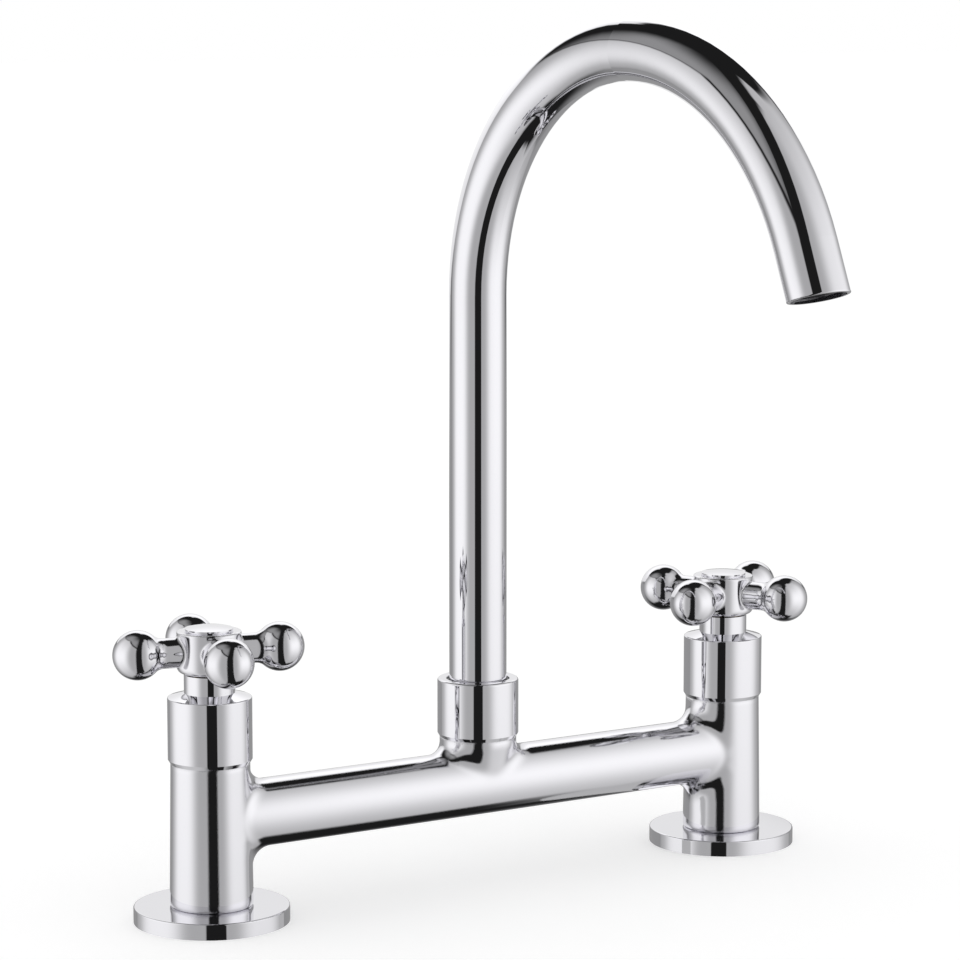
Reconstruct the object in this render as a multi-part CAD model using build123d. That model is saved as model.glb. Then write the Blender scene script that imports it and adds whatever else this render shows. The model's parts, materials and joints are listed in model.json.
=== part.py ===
"""Bridge kitchen faucet: two deck legs, a cross tube, a cross-handle valve on each leg, a swivel swan neck.

Frame: millimetres, +Z up. The origin lies on the deck plane, midway between the legs.
The cross tube runs along X, hot leg at -X and cold leg at +X, and the spout points towards -Y.
Each valve piece is drawn on the Z axis and then moved to its leg.
"""
import os
from math import atan2, cos, radians, sin

from build123d import *

# ------------------------------------------------------------------ driving dimensions (mm, degrees)
# Fits
running_clearance = 0.05  # radial, a shaft that turns in its hole
thread_clearance = 0.05  # radial, between a male and a female thread drawn plain
slip_clearance = 0.1  # radial, a piece dropped into a seat
cover_clearance = 0.2  # radial, a loose cover over what it hides
face_clearance = 0.02  # axial, between faces that slide on each other
seal_clearance = 0.02  # how far a seal is drawn short of the walls that squeeze it
end_clearance = 0.3  # axial, between a shoulder and a step that it does not bear on

# Deck and flanges
inlet_centres = 203.2  # 8 inches between the legs
deck_thickness = 30.0  # the worktop that the back nuts are set for
flange_radius = 25.25
flange_height = 5.2
flange_edge_round = 0.5
flange_rim_width = 2.5  # the metal ring outside the gasket
gasket_thickness = 1.5
gasket_bore_clearance = 1.5  # radial, over the shank
flange_bore_clearance = 0.5  # radial, over the shank

# Inlet tails and their fixings: a half-inch pipe thread
pipe_thread_radius = 10.48
plain_shank_undercut = 0.18
waterway_radius = 5.5
supply_thread_length = 15.0  # the free end, below the nut
supply_relief_width = 1.6
supply_relief_depth = 0.8
tail_end_chamfer = 1.0
tail_thread_engagement = 11.8  # how far the thread goes up into the leg
plain_shank_above_deck = 1.0
plain_shank_short_of_washer = 0.5
tail_spigot_wall = 2.7
tail_spigot_length = 4.5
tail_groove_depth = 1.5
seal_groove_width = 2.0
washer_bore_clearance = 0.4
backing_washer_radius = 19.0
backing_washer_thickness = 2.0
clamp_washer_radius = 18.5
clamp_washer_thickness = 1.6
back_nut_across_flats = 30.0
back_nut_height = 9.0
back_nut_chamfer = 1.2

# Legs, worked outwards from the cartridge thread
cartridge_thread_radius = 10.4
leg_spigot_wall = 1.45
leg_shoulder_width = 0.9  # where the sleeve stands
leg_taper = 0.75  # how much wider the foot is than the neck
leg_height = 46.8  # foot to shoulder
leg_spigot_length = 6.0
leg_foot_round = 1.0
seat_height = 19.8  # foot to the ledge that the cartridge seals on
chamber_step = 1.0  # radial, below the cartridge thread
chamber_height = 19.0

# Cross tube and boss, worked outwards from the spout's tube
spout_tube_radius = 9.6
ferrule_step = 0.5  # radial, tube to ferrule
boss_spigot_wall = 2.65
boss_shoulder_width = 1.1  # where the collar stands
bridge_radius = 11.0
bridge_height = 28.1  # foot of the legs to the tube's axis
bridge_bore_radius = 7.5
leg_blend_radius = 7.2
boss_root_inset = 1.5  # how far inside the tube's side the boss is at the tube's axis
boss_height = 16.0  # tube's axis to shoulder
boss_rim_height = 2.3
boss_blend_radius = 6.5
boss_spigot_length = 10.7
boss_waterway_radius = 7.0
socket_depth = 15.5

# Cartridge
seat_seal_height = 2.8
barrel_clearance = 0.8
barrel_wall = 0.75
barrel_lift = 1.0  # the seal stands out of the barrel by this
barrel_roof_drop = 2.0  # below the top of the chamber
disc_height = 2.5
disc_lug_width = 3.0
disc_lug_height = 2.2
port_inner_radius = 2.4
port_rim = 2.2
port_angle = 84.0
window_radius = 3.4
window_height = 12.5  # seat to window axis
cartridge_groove_depth = 0.6
hex_across_flats = 20.0
hex_height = 6.0
gland_wall = 3.15
gland_short_of_collar = 2.2
stop_wall_height = 1.5
stop_wall_thickness = 1.5
stop_ring_clearance = 0.3
quarter_turn = 90.0
stop_lug_angle = 58.0
stop_angle_clearance = 1.0

# Spindle
spindle_radius = 4.0
spindle_step = 1.2  # radial, upper shaft to sealed shaft
spindle_shoulder_drop = 2.2  # below the top of the hexagon
spindle_groove_depth = 1.3
spindle_first_seal = 5.0  # above the roof of the barrel
spindle_seal_pitch = 7.0
spindle_end_gap = 0.2
blade_width = 3.0
blade_length = 9.6
blade_depth = 1.3
serration_teeth = 20
serration_depth = 0.5

# Sleeve and neck collar
sleeve_height = 22.9
sleeve_overhang = 0.8  # radial, over the leg's neck
sleeve_roof = 3.5  # at the neck
sleeve_top_rise = 1.5  # the cone from the edge up to the neck
sleeve_edge_round = 0.5
sleeve_foot_chamfer_height = 1.3
neck_collar_wall = 0.95
neck_collar_height = 6.0

# Cross handle
left_handle_angle = -12.6  # of the first arm, from +X
right_handle_angle = -62.3
hub_radius = 10.4
hub_height = 13.5
hub_gap = 0.5  # over the neck collar
hub_foot_round = 2.0
hub_top_round = 0.4
arm_count = 4
arm_height = 7.0  # foot of the hub to the arms' axis
arm_length = 13.1  # side of the hub to the ball's centre
arm_radius = 4.85  # at the waist
arm_waist_curve = 4.5
arm_root_fillet = 1.0
ball_radius = 8.0
broach_depth = 6.3
hub_web = 1.7
hub_recess_radius = 5.0
handle_screw_radius = 2.0
handle_screw_length = 11.0
handle_screw_head_radius = 3.5
handle_screw_head_height = 2.4
handle_screw_socket_flats = 2.5
handle_screw_socket_depth = 1.3
cap_radius = 7.8
cap_undercut = 0.9
cap_shadow_gap = 0.35
cap_side_height = 0.5
cap_dome_height = 0.65
cap_stem_length = 1.9

# Spout
spout_tube_wall = 1.2
spout_swing = 3.6  # turned from -Y towards +X, as it stands
riser_height = 135.4
rise_bend_radius = 81.0
fall_bend_radius = 89.0
fall_bend_angle = 68.0  # past the highest point
spout_end_length = 16.0
ferrule_bore_radius = 5.9
ferrule_floor_gap = 0.5
ferrule_flange_height = 2.6
ferrule_spigot_length = 8.0
ferrule_groove_depth = 1.6
ferrule_first_seal = 4.0  # above the end of the nose
ferrule_seal_pitch = 5.5
glide_ring_height = 3.5
glide_lip_width = 0.7  # the part of the ring that shows round the tube
glide_lip_drop = 0.7  # below the top of the collar
collar_overhang = 0.7  # radial, over the boss
collar_roof = 2.9
collar_top_round = 0.9
collar_mouth_round = 0.5
collar_foot_chamfer_height = 1.2
mouth_tilt = 6.0  # the end is cut this much nearer to level than square
mouth_margin = 2.0  # tube swept past the cut
mouth_edge_round = 0.4

# Aerator insert
aerator_setback = 2.0
aerator_length = 6.0
aerator_wall = 1.0
aerator_plate = 1.5
aerator_hole_radius = 0.9
aerator_rings = 2  # of holes, round the one in the middle
aerator_holes_per_ring = 6  # in the first, twice as many in the second
aerator_ring_pitch = 2.65

# ------------------------------------------------------------------ sizes that follow
# Radii of the leg, from the inside out
leg_spigot_radius = cartridge_thread_radius + thread_clearance + leg_spigot_wall
leg_neck_radius = leg_spigot_radius + leg_shoulder_width
leg_foot_radius = leg_neck_radius + leg_taper
sleeve_radius = leg_neck_radius + sleeve_overhang
chamber_radius = cartridge_thread_radius - chamber_step
barrel_radius = chamber_radius - barrel_clearance
barrel_bore_radius = barrel_radius - barrel_wall
disc_radius = barrel_bore_radius - slip_clearance
port_outer_radius = disc_radius - port_rim
cartridge_groove_floor = barrel_radius - cartridge_groove_depth

# Radii of the spindle and its gland
gland_bore_radius = spindle_radius + running_clearance
gland_radius = gland_bore_radius + gland_wall
neck_collar_radius = gland_radius + thread_clearance + neck_collar_wall
spindle_seal_radius = spindle_radius + spindle_step
spindle_seal_bore_radius = spindle_seal_radius + running_clearance
spindle_groove_floor = spindle_seal_radius - spindle_groove_depth
stop_wall_inner_radius = gland_radius - stop_wall_thickness
stop_ring_radius = stop_wall_inner_radius - stop_ring_clearance
screw_hole_radius = handle_screw_radius + thread_clearance

# Radii under the leg
flange_bore_radius = pipe_thread_radius + flange_bore_clearance
plain_shank_radius = pipe_thread_radius - plain_shank_undercut
gasket_inner_radius = plain_shank_radius + gasket_bore_clearance
flange_hollow_radius = flange_radius - flange_rim_width
tail_spigot_radius = waterway_radius + tail_spigot_wall
tail_spigot_bore_radius = tail_spigot_radius + slip_clearance
tail_groove_floor = tail_spigot_radius - tail_groove_depth
washer_bore_radius = pipe_thread_radius + washer_bore_clearance

# Radii at the foot of the spout
spout_bore_radius = spout_tube_radius - spout_tube_wall
ferrule_radius = spout_tube_radius - ferrule_step
ferrule_groove_floor = ferrule_radius - ferrule_groove_depth
socket_radius = ferrule_radius + running_clearance
boss_spigot_radius = socket_radius + boss_spigot_wall
boss_radius = boss_spigot_radius + boss_shoulder_width
boss_root_radius = bridge_radius - boss_root_inset
collar_radius = boss_radius + collar_overhang
glide_bore_radius = spout_tube_radius + slip_clearance
glide_lip_radius = glide_bore_radius + glide_lip_width
collar_mouth_radius = glide_lip_radius + slip_clearance
collar_bore_radius = boss_spigot_radius + slip_clearance
aerator_radius = spout_bore_radius - slip_clearance

# Heights under the deck, from the deck down
backing_washer_z = -deck_thickness - backing_washer_thickness
clamp_washer_z = backing_washer_z - clamp_washer_thickness
back_nut_z = clamp_washer_z - back_nut_height
supply_relief_top_z = back_nut_z - supply_relief_width / 2
supply_relief_z = supply_relief_top_z - supply_relief_width
tail_bottom_z = supply_relief_z - supply_thread_length

# Heights in the leg, from the foot up
foot_z = flange_height
tail_thread_top_z = foot_z + tail_thread_engagement
tail_groove_z = tail_thread_top_z + tail_spigot_length / 2
tail_top_z = tail_thread_top_z + tail_spigot_length
seat_z = foot_z + seat_height
bridge_z = foot_z + bridge_height
chamber_top_z = seat_z + chamber_height
leg_shoulder_z = foot_z + leg_height
leg_top_z = leg_shoulder_z + leg_spigot_length
barrel_foot_z = seat_z + barrel_lift
barrel_roof_z = chamber_top_z - barrel_roof_drop
barrel_top_z = chamber_top_z + end_clearance
window_z = seat_z + window_height
cartridge_seal_z = chamber_top_z - seal_groove_width / 2
fixed_disc_z = seat_z + seat_seal_height
fixed_disc_top_z = fixed_disc_z + disc_height
moving_disc_z = fixed_disc_top_z + face_clearance
moving_disc_top_z = moving_disc_z + disc_height
hex_top_z = leg_top_z + hex_height
spindle_shoulder_z = hex_top_z - spindle_shoulder_drop
spindle_first_seal_z = barrel_roof_z + spindle_first_seal
spindle_seal_zs = (spindle_first_seal_z, spindle_first_seal_z + spindle_seal_pitch)

# Heights above the leg
sleeve_top_z = leg_shoulder_z + sleeve_height
sleeve_edge_z = sleeve_top_z - sleeve_top_rise
neck_top_z = sleeve_top_z + neck_collar_height
gland_top_z = neck_top_z - gland_short_of_collar
stop_ring_z = gland_top_z + face_clearance
stop_ring_top_z = gland_top_z + stop_wall_height
hub_foot_z = neck_top_z + hub_gap
hub_top_z = hub_foot_z + hub_height
arm_z = hub_foot_z + arm_height
arm_reach = hub_radius + arm_length
broach_top_z = hub_foot_z + broach_depth
spindle_top_z = broach_top_z - spindle_end_gap
hub_recess_z = broach_top_z + hub_web
handle_screw_z = hub_recess_z - handle_screw_length

# Heights at the foot of the spout
boss_shoulder_z = bridge_z + boss_height
boss_rim_z = boss_shoulder_z - boss_rim_height
boss_top_z = boss_shoulder_z + boss_spigot_length
socket_floor_z = boss_top_z - socket_depth
ferrule_z = socket_floor_z + ferrule_floor_gap
ferrule_first_seal_z = ferrule_z + ferrule_first_seal
ferrule_seal_zs = (ferrule_first_seal_z, ferrule_first_seal_z + ferrule_seal_pitch)
ferrule_flange_z = boss_top_z + face_clearance
spout_foot_z = ferrule_flange_z + ferrule_flange_height
riser_top_z = spout_foot_z + riser_height
glide_ring_z = spout_foot_z + running_clearance
glide_ring_top_z = glide_ring_z + glide_ring_height
collar_top_z = glide_ring_top_z + collar_roof


# ------------------------------------------------------------------ building blocks
def rod(radius, bottom, top):
    """A plain round bar on the Z axis."""
    bar = Cylinder(radius, top - bottom, align=(Align.CENTER, Align.CENTER, Align.MIN))
    return Pos(0, 0, bottom) * bar


def ring(inner, outer, bottom, top):
    """A plain washer on the Z axis."""
    return rod(outer, bottom, top) - rod(inner, bottom, top)


def turned(*points):
    """A solid turned about the Z axis from a closed outline of (radius, height) points."""
    return revolve(Plane.XZ * make_face(Polyline(*points, close=True)), Axis.Z)


def hexagon(across_flats, bottom, top):
    """A six-sided bar on the Z axis."""
    outline = RegularPolygon(across_flats / 2, 6, major_radius=False)
    return Pos(0, 0, bottom) * extrude(outline, top - bottom)


def slice_of_ring(inner, outer, start, end, bottom, top):
    """The part of a washer between two angles in degrees."""
    outer_arc = CenterArc((0, 0), outer, start, end - start)
    inner_arc = CenterArc((0, 0), inner, start, end - start)
    sides = [Line(outer_arc @ 0, inner_arc @ 0), Line(outer_arc @ 1, inner_arc @ 1)]
    outline = make_face([outer_arc, inner_arc, *sides])
    return Pos(0, 0, bottom) * extrude(outline, top - bottom)


def seal_ring(centre_z, floor_radius, wall_radius):
    """A round-section ring between a groove's floor and the wall that it seals on."""
    section = (wall_radius - floor_radius) / 2 - seal_clearance
    return Pos(0, 0, centre_z) * Torus((wall_radius + floor_radius) / 2, section)


def seal_pair(centre_zs, floor_radius, wall_radius):
    """Two such rings on one shaft."""
    return Compound([seal_ring(z, floor_radius, wall_radius) for z in centre_zs])


def seal_groove(centre_z, floor_radius, shaft_radius):
    """The cutter for a seal's groove in a shaft."""
    half = seal_groove_width / 2
    return ring(floor_radius, shaft_radius + 1, centre_z - half, centre_z + half)


def serrated_bar(clearance, bottom, top):
    """A bar with triangular serrations, or with a clearance the hole that takes it."""
    crest = spindle_radius + clearance
    root = crest - serration_depth
    step = 180 / serration_teeth
    points = []
    for index in range(2 * serration_teeth):
        radius = crest if index % 2 == 0 else root
        angle = radians(index * step)
        points.append((radius * cos(angle), radius * sin(angle)))
    outline = make_face(Polyline(*points, close=True))
    return Pos(0, 0, bottom) * extrude(outline, top - bottom)


def rim(solid, radius, height):
    """The circular edges of a solid with this radius and height."""
    circles = solid.edges().filter_by(GeomType.CIRCLE)
    return [
        edge
        for edge in circles
        if abs(edge.radius - radius) < 1e-4 and abs(edge.arc_center.Z - height) < 1e-4
    ]


def joint_curves(solid):
    """The curves where one round body runs into another."""
    plain = (GeomType.CIRCLE, GeomType.LINE)
    return [edge for edge in solid.edges() if edge.geom_type not in plain]


# ------------------------------------------------------------------ bridge body
def leg():
    """The outside of one leg, tapering from its foot to the sleeve's shoulder."""
    blank = turned(
        (0, foot_z),
        (leg_foot_radius, foot_z),
        (leg_neck_radius, leg_shoulder_z),
        (leg_spigot_radius, leg_shoulder_z),
        (leg_spigot_radius, leg_top_z),
        (0, leg_top_z),
    )
    return fillet(rim(blank, leg_foot_radius, foot_z), leg_foot_round)


def leg_waterway():
    """What is bored out of a leg: tail thread, spigot seat, seat orifice, chamber, cartridge thread."""
    thread_bore = rod(pipe_thread_radius + thread_clearance, foot_z, tail_thread_top_z + end_clearance)
    spigot_seat = rod(tail_spigot_bore_radius, foot_z, tail_top_z + end_clearance)
    orifice = rod(waterway_radius, foot_z, seat_z)
    chamber = rod(chamber_radius, seat_z, chamber_top_z)
    top_thread = rod(cartridge_thread_radius + thread_clearance, chamber_top_z, leg_top_z)
    return thread_bore + spigot_seat + orifice + chamber + top_thread


def boss():
    """The centre boss before its spigot is turned: it narrows downwards and melts into the tube."""
    return turned(
        (0, bridge_z),
        (boss_root_radius, bridge_z),
        (boss_radius, boss_rim_z),
        (boss_radius, boss_top_z),
        (0, boss_top_z),
    )


def bridge_body():
    """The cast body: two legs, the cross tube between them and the boss in the middle, all bored for water."""
    along_x = Pos(0, 0, bridge_z) * Rot(0, 90, 0)
    half = inlet_centres / 2
    tube_with_boss = along_x * Cylinder(bridge_radius, inlet_centres) + boss()
    body = fillet(joint_curves(tube_with_boss), boss_blend_radius)
    turned_off = boss_radius + boss_blend_radius
    body = body - ring(boss_spigot_radius, turned_off, boss_shoulder_z, boss_top_z)
    for x in (-half, half):
        body = body + Pos(x, 0, 0) * leg()
    leg_curves = [edge for edge in joint_curves(body) if abs(edge.center().X) > half / 2]
    body = fillet(leg_curves, leg_blend_radius)
    body = body - along_x * Cylinder(bridge_bore_radius, inlet_centres)
    body = body - rod(boss_waterway_radius, bridge_z, socket_floor_z)
    body = body - rod(socket_radius, socket_floor_z, boss_top_z)
    for x in (-half, half):
        body = body - Pos(x, 0, 0) * leg_waterway()
    return body


# ------------------------------------------------------------------ under each leg
def base_flange():
    """Round plate between leg and deck, hollowed underneath for its gasket."""
    plate = turned(
        (flange_bore_radius, gasket_thickness),
        (flange_hollow_radius, gasket_thickness),
        (flange_hollow_radius, 0),
        (flange_radius, 0),
        (flange_radius, flange_height),
        (flange_bore_radius, flange_height),
    )
    return fillet(rim(plate, flange_radius, flange_height), flange_edge_round)


def flange_gasket():
    """Flat ring in the flange's hollow, flush with its rim."""
    return ring(gasket_inner_radius, flange_hollow_radius - slip_clearance, 0, gasket_thickness)


def inlet_tail():
    """Threaded tail: screwed up into the leg, through flange and deck, with a free end for the supply."""
    relief_radius = pipe_thread_radius - supply_relief_depth
    plain_bottom = -deck_thickness + plain_shank_short_of_washer
    bar = turned(
        (waterway_radius, tail_bottom_z),
        (pipe_thread_radius - tail_end_chamfer, tail_bottom_z),
        (pipe_thread_radius, tail_bottom_z + tail_end_chamfer),
        (pipe_thread_radius, supply_relief_z),
        (relief_radius, supply_relief_z),
        (relief_radius, supply_relief_top_z),
        (pipe_thread_radius, supply_relief_top_z),
        (pipe_thread_radius, plain_bottom),
        (plain_shank_radius, plain_bottom),
        (plain_shank_radius, plain_shank_above_deck),
        (pipe_thread_radius, plain_shank_above_deck),
        (pipe_thread_radius, tail_thread_top_z),
        (tail_spigot_radius, tail_thread_top_z),
        (tail_spigot_radius, tail_top_z),
        (waterway_radius, tail_top_z),
    )
    return bar - seal_groove(tail_groove_z, tail_groove_floor, tail_spigot_radius)


def tail_o_ring():
    """Seal between the tail's spigot and the leg."""
    return seal_ring(tail_groove_z, tail_groove_floor, tail_spigot_bore_radius)


def backing_washer():
    """Soft washer against the underside of the deck."""
    return ring(washer_bore_radius, backing_washer_radius, backing_washer_z, -deck_thickness)


def clamp_washer():
    """Metal washer between the soft washer and the nut."""
    return ring(washer_bore_radius, clamp_washer_radius, clamp_washer_z, backing_washer_z)


def back_nut():
    """Six-sided nut that pulls the flange down on the deck, its corners turned off at both ends."""
    flat = back_nut_across_flats / 2
    corner = flat / cos(radians(30))
    bore = pipe_thread_radius + thread_clearance
    corners_off = turned(
        (bore, back_nut_z),
        (flat, back_nut_z),
        (corner, back_nut_z + back_nut_chamfer),
        (corner, clamp_washer_z - back_nut_chamfer),
        (flat, clamp_washer_z),
        (bore, clamp_washer_z),
    )
    return hexagon(back_nut_across_flats, back_nut_z, clamp_washer_z) & corners_off


# ------------------------------------------------------------------ cartridge, in each leg
def disc_ports(middle_angle, bottom, top):
    """The two opposite openings of a ceramic disc."""
    half = port_angle / 2
    ports = []
    for centre in (middle_angle, middle_angle + 180):
        ports.append(
            slice_of_ring(port_inner_radius, port_outer_radius, centre - half, centre + half, bottom, top)
        )
    return ports[0] + ports[1]


def lug_bar(width, outer, bottom, top):
    """A flat bar across the barrel, for the fixed disc's lugs and the notches that hold them."""
    bar = Box(width, 2 * outer, top - bottom, align=(Align.CENTER, Align.CENTER, Align.MIN))
    return (Pos(0, 0, bottom) * bar) & rod(outer, bottom, top)


def cartridge_body(opening):
    """Brass headwork: barrel with windows, thread, hexagon, gland neck and the wall that stops the turn."""
    body = rod(barrel_radius, barrel_foot_z, barrel_top_z)
    body = body + rod(cartridge_thread_radius, barrel_top_z, leg_top_z)
    body = body + hexagon(hex_across_flats, leg_top_z, hex_top_z)
    body = body + rod(gland_radius, hex_top_z, gland_top_z)
    shaft_bore_top = spindle_shoulder_z + end_clearance
    body = body - rod(barrel_bore_radius, barrel_foot_z, barrel_roof_z)
    body = body - rod(spindle_seal_bore_radius, barrel_roof_z, shaft_bore_top)
    body = body - rod(gland_bore_radius, shaft_bore_top, gland_top_z)
    body = body - Pos(0, 0, window_z) * Rot(0, 90, 0) * Cylinder(window_radius, 3 * barrel_radius)
    notch_width = disc_lug_width + 2 * slip_clearance
    notch_top = fixed_disc_z + disc_lug_height + slip_clearance
    body = body - lug_bar(notch_width, barrel_radius + 1, barrel_foot_z, notch_top)
    body = body - seal_groove(cartridge_seal_z, cartridge_groove_floor, barrel_radius)
    first, last = stop_gap(opening)
    wall = slice_of_ring(
        stop_wall_inner_radius, gland_radius, last, first + 360, gland_top_z, stop_ring_top_z
    )
    return body + wall


def cartridge_o_ring():
    """Seal that keeps the chamber's water off the cartridge thread."""
    return seal_ring(cartridge_seal_z, cartridge_groove_floor, chamber_radius)


def stop_gap(opening):
    """First and last angle of the gap in the stop wall, for a lug at zero that turns a quarter to open."""
    half = stop_lug_angle / 2 + stop_angle_clearance
    if opening > 0:
        return -half, half + quarter_turn
    return -half - quarter_turn, half


def seat_seal():
    """Thick rubber ring between the seat ledge and the fixed disc."""
    return ring(waterway_radius + slip_clearance, disc_radius, seat_z, fixed_disc_z)


def fixed_disc():
    """Ceramic disc held by two lugs in the barrel's notches."""
    disc = rod(disc_radius, fixed_disc_z, fixed_disc_top_z)
    disc = disc + lug_bar(disc_lug_width, barrel_radius, fixed_disc_z, fixed_disc_z + disc_lug_height)
    return disc - disc_ports(0, fixed_disc_z, fixed_disc_top_z)


def moving_disc():
    """Ceramic disc turned by the spindle's blade: at rest its openings lie across the fixed ones."""
    disc = rod(disc_radius, moving_disc_z, moving_disc_top_z)
    disc = disc - disc_ports(quarter_turn, moving_disc_z, moving_disc_top_z)
    return disc - blade(slip_clearance)


def blade(clearance):
    """The spindle's flat foot, or with a clearance the slot that takes it."""
    outline = Rectangle(blade_length + 2 * clearance, blade_width + 2 * clearance)
    bottom = moving_disc_top_z - blade_depth - clearance
    return Pos(0, 0, bottom) * extrude(outline, moving_disc_top_z + slip_clearance - bottom)


def spindle():
    """Valve spindle: blade, sealed shaft, upper shaft and the serrated end that carries the handle."""
    shaft = rod(spindle_seal_radius, moving_disc_top_z + slip_clearance, spindle_shoulder_z)
    upper = rod(spindle_radius, spindle_shoulder_z, gland_top_z)
    body = blade(0) + shaft + upper + serrated_bar(0, gland_top_z, spindle_top_z)
    for seal_z in spindle_seal_zs:
        body = body - seal_groove(seal_z, spindle_groove_floor, spindle_seal_radius)
    return body - rod(screw_hole_radius, handle_screw_z - end_clearance, spindle_top_z)


def spindle_o_rings():
    """The two seals on the spindle."""
    return seal_pair(spindle_seal_zs, spindle_groove_floor, spindle_seal_bore_radius)


def stop_ring():
    """Ring on the serrations, whose lug runs between the ends of the stop wall."""
    half = stop_lug_angle / 2
    lug = slice_of_ring(
        spindle_radius, gland_radius - slip_clearance, -half, half, stop_ring_z, stop_ring_top_z
    )
    body = rod(stop_ring_radius, stop_ring_z, stop_ring_top_z) + lug
    return body - serrated_bar(thread_clearance, stop_ring_z, stop_ring_top_z)


# ------------------------------------------------------------------ what shows over each leg
def valve_sleeve():
    """Plain cover over the cartridge with a low conical top, standing on the leg's shoulder."""
    cover = turned(
        (0, leg_shoulder_z),
        (leg_neck_radius, leg_shoulder_z),
        (sleeve_radius, leg_shoulder_z + sleeve_foot_chamfer_height),
        (sleeve_radius, sleeve_edge_z),
        (neck_collar_radius, sleeve_top_z),
        (0, sleeve_top_z),
    )
    cover = fillet(rim(cover, sleeve_radius, sleeve_edge_z), sleeve_edge_round)
    inside = rod(leg_spigot_radius + cover_clearance, leg_shoulder_z, sleeve_top_z - sleeve_roof)
    return cover - inside - rod(gland_radius + cover_clearance, leg_shoulder_z, sleeve_top_z)


def neck_collar():
    """Narrow collar screwed on the gland neck, which holds the sleeve down."""
    return ring(gland_radius + thread_clearance, neck_collar_radius, sleeve_top_z, neck_top_z)


def handle_arm():
    """One arm along +X: a waisted bar that runs smoothly into its ball."""
    drop = arm_radius + arm_waist_curve
    along = ((ball_radius + arm_waist_curve) ** 2 - drop**2) ** 0.5
    waist_x = arm_reach - along
    to_waist_curve = atan2(drop, -along)
    touch = (arm_reach + ball_radius * cos(to_waist_curve), ball_radius * sin(to_waist_curve))
    mid_waist = (radians(-90) + to_waist_curve - radians(180)) / 2
    waist_point = (
        waist_x + arm_waist_curve * cos(mid_waist),
        drop + arm_waist_curve * sin(mid_waist),
    )
    ball_point = (
        arm_reach + ball_radius * cos(to_waist_curve / 2),
        ball_radius * sin(to_waist_curve / 2),
    )
    tip = (arm_reach + ball_radius, 0)
    outline = [
        Polyline((0, 0), (0, arm_radius), (waist_x, arm_radius)),
        ThreePointArc((waist_x, arm_radius), waist_point, touch),
        ThreePointArc(touch, ball_point, tip),
        Line(tip, (0, 0)),
    ]
    return revolve(Plane.XZ * make_face(outline), Axis.X)


def crosshead():
    """Cross handle: barrel hub with four ball-ended arms, broached below, recessed above for its screw."""
    body = rod(hub_radius, hub_foot_z, hub_top_z)
    body = fillet(rim(body, hub_radius, hub_top_z), hub_top_round)
    body = fillet(rim(body, hub_radius, hub_foot_z), hub_foot_round)
    for index in range(arm_count):
        body = body + Pos(0, 0, arm_z) * Rot(0, 0, index * 360 / arm_count) * handle_arm()
    hub_centre = Vertex(0, 0, arm_z)
    roots = [edge for edge in joint_curves(body) if edge.distance_to(hub_centre) < hub_radius]
    room = hub_top_z - hub_top_round - arm_z - arm_radius
    body = fillet(roots, min(arm_root_fillet, 0.8 * room))
    body = body - serrated_bar(thread_clearance, hub_foot_z, broach_top_z)
    body = body - rod(handle_screw_radius + slip_clearance, broach_top_z, hub_recess_z)
    return body - rod(hub_recess_radius, hub_recess_z, hub_top_z)


def handle_screw():
    """Socket screw that pulls the handle down on the spindle."""
    head_top = hub_recess_z + handle_screw_head_height
    shank = rod(handle_screw_radius, handle_screw_z, hub_recess_z)
    head = rod(handle_screw_head_radius, hub_recess_z, head_top)
    socket = hexagon(handle_screw_socket_flats, head_top - handle_screw_socket_depth, head_top)
    return shank + head - socket


def index_cap():
    """Low domed cap with a shadow gap under its edge, pushed into the hub's recess."""
    side_top = hub_top_z + cap_shadow_gap + cap_side_height
    dome_top = side_top + cap_dome_height
    sphere = (cap_radius**2 + cap_dome_height**2) / (2 * cap_dome_height)
    half_angle = atan2(cap_radius, sphere - cap_dome_height) / 2
    dome_point = (sphere * sin(half_angle), dome_top - sphere * (1 - cos(half_angle)))
    stem_radius = hub_recess_radius - slip_clearance
    seat_radius = cap_radius - cap_undercut
    side = Polyline(
        (0, dome_top),
        (0, hub_top_z - cap_stem_length),
        (stem_radius, hub_top_z - cap_stem_length),
        (stem_radius, hub_top_z),
        (seat_radius, hub_top_z),
        (seat_radius, hub_top_z + cap_shadow_gap),
        (cap_radius, hub_top_z + cap_shadow_gap),
        (cap_radius, side_top),
    )
    dome = ThreePointArc((cap_radius, side_top), dome_point, (0, dome_top))
    return revolve(Plane.XZ * make_face([side, dome]), Axis.Z)


# ------------------------------------------------------------------ spout
def spout_path(past_mouth=0):
    """Centre line of the spout, drawn in the XZ plane towards +X: riser, two bends, straight end."""
    rise = Line((0, spout_foot_z), (0, riser_top_z))
    first_bend = JernArc(rise @ 1, rise % 1, rise_bend_radius, -90)
    second_bend = JernArc(first_bend @ 1, first_bend % 1, fall_bend_radius, -fall_bend_angle)
    end_length = spout_end_length + past_mouth
    end = Line(second_bend @ 1, (second_bend @ 1) + (second_bend % 1) * end_length)
    return Plane.XZ * Wire([rise, first_bend, second_bend, end])


def facing(piece):
    """Turn a spout piece from +X to the way the spout points."""
    return Rot(0, 0, spout_swing - 90) * piece


def spout_tube():
    """The bent tube: its end is cut a little nearer to level than square, its outer edge rounded."""
    path = spout_path(mouth_margin)
    start = Pos(0, 0, spout_foot_z)
    outside = sweep(start * Circle(spout_tube_radius), path=path)
    inside = sweep(start * Circle(spout_bore_radius), path=path)
    mouth_angle = radians(fall_bend_angle + mouth_tilt)
    mouth = Plane(origin=spout_path() @ 1, z_dir=(cos(mouth_angle), 0, -sin(mouth_angle)))
    past_mouth = extrude(Circle(2 * spout_tube_radius), 4 * mouth_margin)
    bar = outside - mouth * past_mouth
    end_face = bar.faces().sort_by_distance(mouth.origin)[0]
    bar = fillet(end_face.edges(), mouth_edge_round)
    return facing(bar - inside)


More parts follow.
